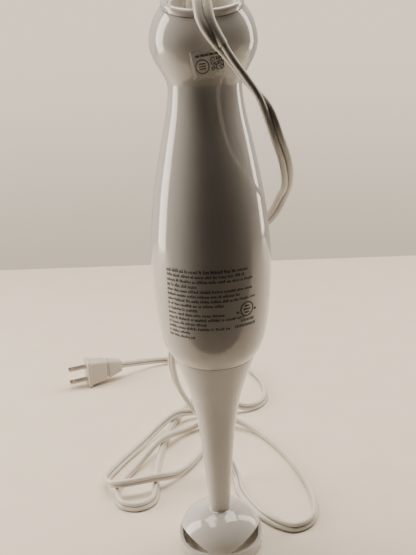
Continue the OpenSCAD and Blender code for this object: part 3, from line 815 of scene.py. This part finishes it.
def ring_rows(angle, z, radius, width, at_radius):
    """Rows of a printed ring about a point of the casing."""
    turn = [math.tau * k / 48 for k in range(49)]
    rows = []
    for r in (radius - width, radius):
        rows.append([(angle + r * math.sin(a) / at_radius, z + r * math.cos(a)) for a in turn])
    return rows


def join_patches(name, patches, material):
    """One thin printed piece from many patches on the casing."""
    points = []
    faces = []
    for rows in patches:
        p, f = casing_patch(rows)
        faces += [tuple(i + len(points) for i in face) for face in f]
        points += p
    mesh = bpy.data.meshes.new(name)
    mesh.from_pydata([tuple(p) for p in points], [], faces)
    piece = add_object(name, mesh, material, MOTOR)
    thick = piece.modifiers.new("thick", "SOLIDIFY")
    thick.thickness = PRINT_LIFT
    thick.offset = -1
    return piece


def make_print():
    """Rating print with no lettering: rows of plain ticks in word-long runs, and one plain ring."""
    rng = random.Random(7)
    row_ends_mm = [17, 15.5, 17, -11.5, 21, 14, 21, 5, -13, 3, 13, -7, 7, -12.5, -10.5]
    first_z = 0.192
    start_x = -0.0232
    pitch = 0.00266
    tick = 0.0004
    patches = []
    for i, end_mm in enumerate(row_ends_mm):
        z = first_z - i * pitch
        radius = casing_radius(z)
        tall = 0.0019 if i in (0, 3) else 0.0016
        angle = math.asin(start_x / radius)
        end = math.asin(end_mm * MM / radius)
        while angle < end:
            for _ in range(rng.randint(2, 8)):
                high = tall * rng.choice((0.65, 0.7, 1))
                base = z - tall / 2
                patches.append(bar(angle, angle + 1.25 * tick / radius, base + high / 2, high))
                if rng.random() < 0.6:
                    foot = base + rng.choice((0.12, 0.6)) * high
                    patches.append(bar(angle, angle + 2 * tick / radius, foot, 0.00032))
                angle += 2 * tick / radius
            angle += 1.6 * tick / radius
    # The ring, with three bars inside and a dot at each side
    middle = math.radians(33.5)
    patches.append(ring_rows(middle, 0.1693, 0.0043, 0.0008, 0.0325))
    for i, half in enumerate((0.045, 0.07, 0.045)):
        patches.append(bar(middle - half, middle + half, 0.1711 - 0.0018 * i, 0.0009))
    for side in (-1, 1):
        dot = middle + side * 0.17
        patches.append(bar(dot - 0.025, dot + 0.025, 0.1683, 0.0012))
    # Two rows of wider ticks under the ring
    for start, stop, z in ((27, 41, 0.1632), (21, 44, 0.1602)):
        angle = start
        while angle < stop:
            patches.append(bar(math.radians(angle), math.radians(angle + 1.1), z, 0.0017))
            angle += 1.7
    join_patches("rating_print", patches, PRINT)


def make_sticker():
    """Clear sticker on the head, with a plain ring, a chequered square and a dashed bar."""
    middle_x = 0.0017
    middle_z = 0.2921
    lean = math.radians(8.5)

    def place(u, v):
        """Angle and height on the casing of a point of the leaning sticker."""
        x = middle_x + u * math.cos(lean) - v * math.sin(lean)
        z = middle_z + u * math.sin(lean) + v * math.cos(lean)
        r = casing_radius(z)
        return (math.asin(x / r), z)

    def grid(u0, u1, v0, v1, n):
        """Rows of a rectangle of the sticker."""
        across = [mix(u0, u1, i / n) for i in range(n + 1)]
        return [[place(u, mix(v0, v1, j / n)) for u in across] for j in range(n + 1)]

    join_patches("sticker_film", [grid(-0.0076, 0.0076, -0.0066, 0.0066, 12)], film_material())
    rng = random.Random(3)
    marks = []
    ring_u = -0.0027
    ring_v = -0.0009
    turn = [math.tau * k / 40 for k in range(41)]
    circle = []
    for r in (0.0029, 0.0034):
        circle.append([place(ring_u + r * math.sin(a), ring_v + r * math.cos(a)) for a in turn])
    marks.append(circle)
    for v in (-0.0018, -0.0006, 0.0006):
        marks.append(grid(ring_u - 0.0016, ring_u + 0.0016, v - 0.0004, v + 0.0001, 2))
    cell = 0.00056
    for i in range(11):
        for j in range(11):
            if rng.random() < 0.6:
                u = 0.0014 + i * cell
                v = -0.0034 + j * cell
                marks.append(grid(u, u + cell, v, v + cell, 1))
    u = -0.0052
    while u < 0.0066:
        word = rng.uniform(0.0012, 0.0026)
        marks.append(grid(u, min(u + word, 0.0069), 0.0036, 0.0046, 2))
        u += word + 0.0003
    piece = join_patches("sticker_print", marks, PRINT)
    piece.data.transform(Matrix.Translation((0, -0.00008, 0)))


# ---- stage ----


def make_stage():
    """Plain pale table, whose front edge is just before the blender."""
    front = -0.13
    back = 0.56
    half = 3
    thick = 0.03
    points = [(-half, front, 0), (half, front, 0), (half, back, 0), (-half, back, 0)]
    points += [(x, y, -thick) for x, y, _ in points]
    faces = [(0, 1, 2, 3), (4, 7, 6, 5), (0, 4, 5, 1), (1, 5, 6, 2), (2, 6, 7, 3), (3, 7, 4, 0)]
    paper = surface("table_paper", (0.82, 0.745, 0.65), 0.6, grain=400, bump=0.05, spread=0.02)
    add_object("table", make_mesh("table", points, faces), paper, None)


def soft_light(name, place, target, size, power, color):
    """An area lamp that faces a target and is not itself seen."""
    data = bpy.data.lights.new(name, "AREA")
    data.shape = "RECTANGLE"
    data.size, data.size_y = size
    data.energy = power
    data.color = color
    lamp = bpy.data.objects.new(name, data)
    lamp.visible_camera = False
    bpy.context.scene.collection.objects.link(lamp)
    lamp.location = place
    lamp.rotation_euler = (Vector(target) - Vector(place)).to_track_quat("-Z", "Y").to_euler()


def mapped(tree, source, output, low, high, to_low, to_high):
    """A smooth rise of a value between two levels."""
    node = tree.nodes.new("ShaderNodeMapRange")
    node.interpolation_type = "SMOOTHSTEP"
    node.inputs["From Min"].default_value = low
    node.inputs["From Max"].default_value = high
    node.inputs["To Min"].default_value = to_low
    node.inputs["To Max"].default_value = to_high
    link(tree, source, output, node, "Value")
    return node


def make_room():
    """Pale room behind the table: bright at the back and dark at the front, where the light falls away.
    The wall that the camera sees has painted shade, darker towards the horizon.
    """
    world = bpy.data.worlds.new("room")
    bpy.context.scene.world = world
    world.use_nodes = True
    tree = world.node_tree
    shown = tree.nodes["Background"]
    shown.inputs["Color"].default_value = (1, 0.85, 0.66, 1)
    place = tree.nodes.new("ShaderNodeTexCoord")
    split = tree.nodes.new("ShaderNodeSeparateXYZ")
    link(tree, place, "Generated", split, "Vector")
    # Painted shade: the wall seen by the camera darkens towards the horizon.
    painted_wall_shade = mapped(tree, split, "Z", -0.36, 0.0, 0.78, 1.3)
    light = tree.nodes.new("ShaderNodeBackground")
    light.inputs["Color"].default_value = (1, 0.89, 0.76, 1)
    behind = mapped(tree, split, "Y", 0.0, 0.5, 0.014, 0.55)
    link(tree, painted_wall_shade, "Result", shown, "Strength")
    link(tree, behind, "Result", light, "Strength")
    path = tree.nodes.new("ShaderNodeLightPath")
    choose = tree.nodes.new("ShaderNodeMixShader")
    link(tree, path, "Is Camera Ray", choose, "Fac")
    tree.links.new(light.outputs["Background"], choose.inputs[1])
    tree.links.new(shown.outputs["Background"], choose.inputs[2])
    link(tree, choose, "Shader", tree.nodes["World Output"], "Surface")


def make_lights():
    """Two tall soft lights at the sides, a little behind, and a broad one above the table."""
    warm = (1, 0.88, 0.735)
    soft_light("left_window", (-0.82, 0.2, 0.4), (0, 0.05, 0.2), (0.36, 0.9), 10, warm)
    soft_light("right_window", (0.76, 0.46, 0.45), (0, 0.05, 0.2), (0.22, 0.9), 4, warm)
    soft_light("top_back", (0.08, 0.35, 1.3), (0.1, 0.3, 0), (1.5, 0.7), 25, warm)


dress_cad_nodes()
make_casing()
make_button()
make_button_spring()
make_collar()
make_shaft()
make_guard()
make_print()
make_sticker()
make_stage()
make_room()
make_lights()
